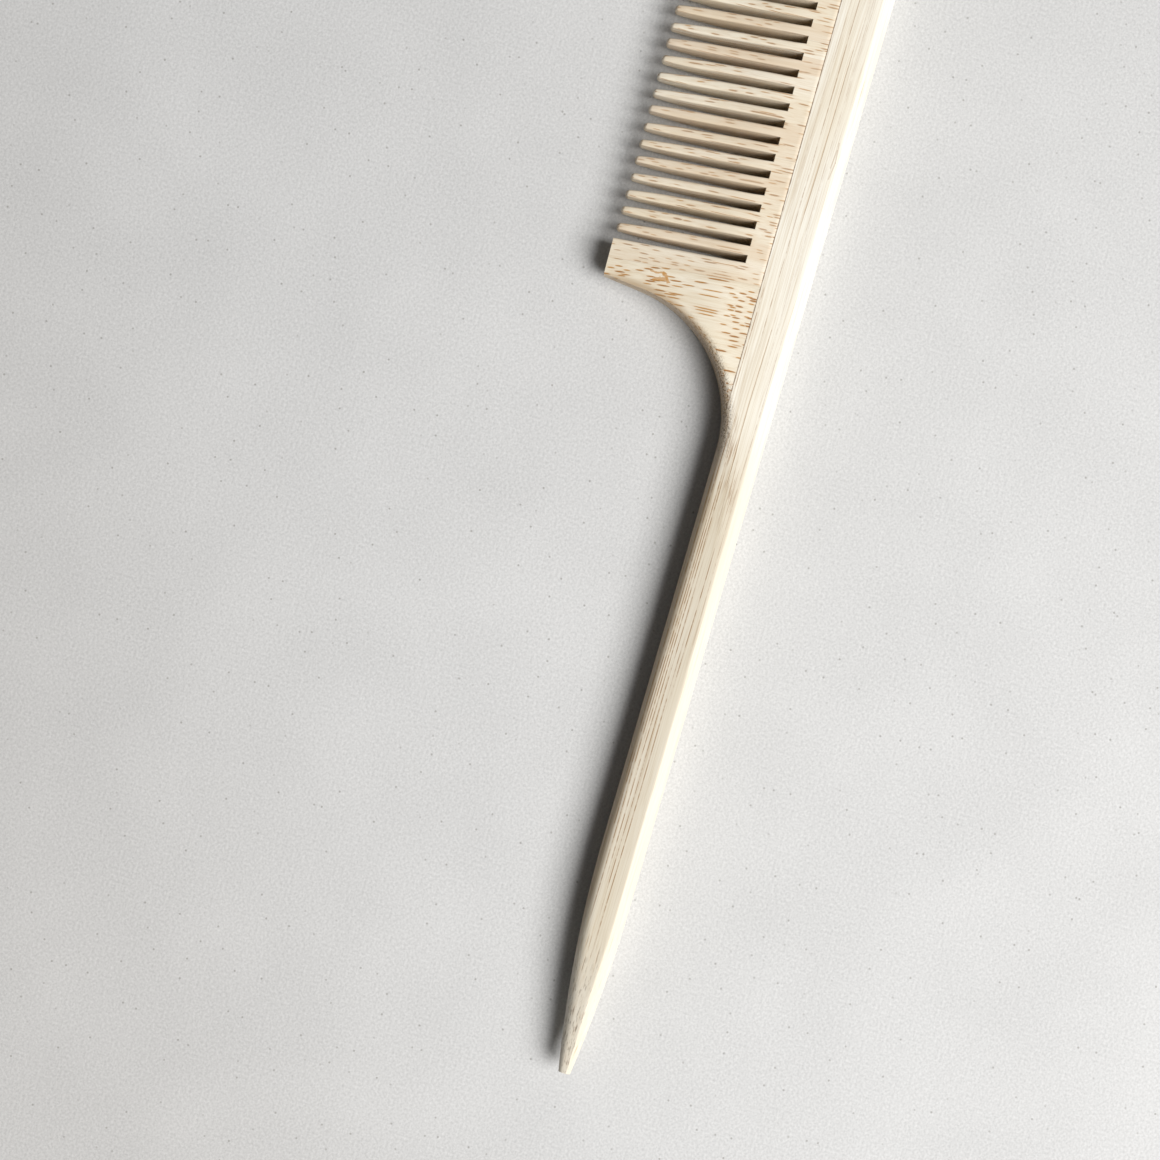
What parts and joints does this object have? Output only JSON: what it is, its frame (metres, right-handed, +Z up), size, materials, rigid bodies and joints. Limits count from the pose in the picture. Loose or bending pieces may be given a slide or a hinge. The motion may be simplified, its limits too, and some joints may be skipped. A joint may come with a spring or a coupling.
{
  "type": "rat tail comb",
  "caption": "Bamboo rat tail comb: a fine-toothed head glued to one long stick that runs on as a pointed tail for parting and sectioning hair.",
  "frame": {"origin": "below the middle of the comb's box, on the surface that it lies on", "axes": "+X along the comb from the tail's tip to the far end of the head, +Y from the straight back edge to the tooth tips, +Z up from the face it lies on"},
  "size_m": [0.24, 0.0351, 0.0072],
  "materials": {
    "bamboo_spine": "smooth sanded bamboo, lengthwise grain, satin",
    "bamboo_slats": "sanded bamboo with golden-brown fibre flecks, satin"
  },
  "bodies": {
    "root": {"spine_and_tail": "bamboo_spine", "neck_guard_slat": "bamboo_slats", "tooth_slat_1": "bamboo_slats", "tooth_slat_2": "bamboo_slats", "tooth_slat_3": "bamboo_slats", "tooth_slat_4": "bamboo_slats", "tooth_slat_5": "bamboo_slats", "end_guard_slat": "bamboo_slats"}
  },
  "joints": []
}
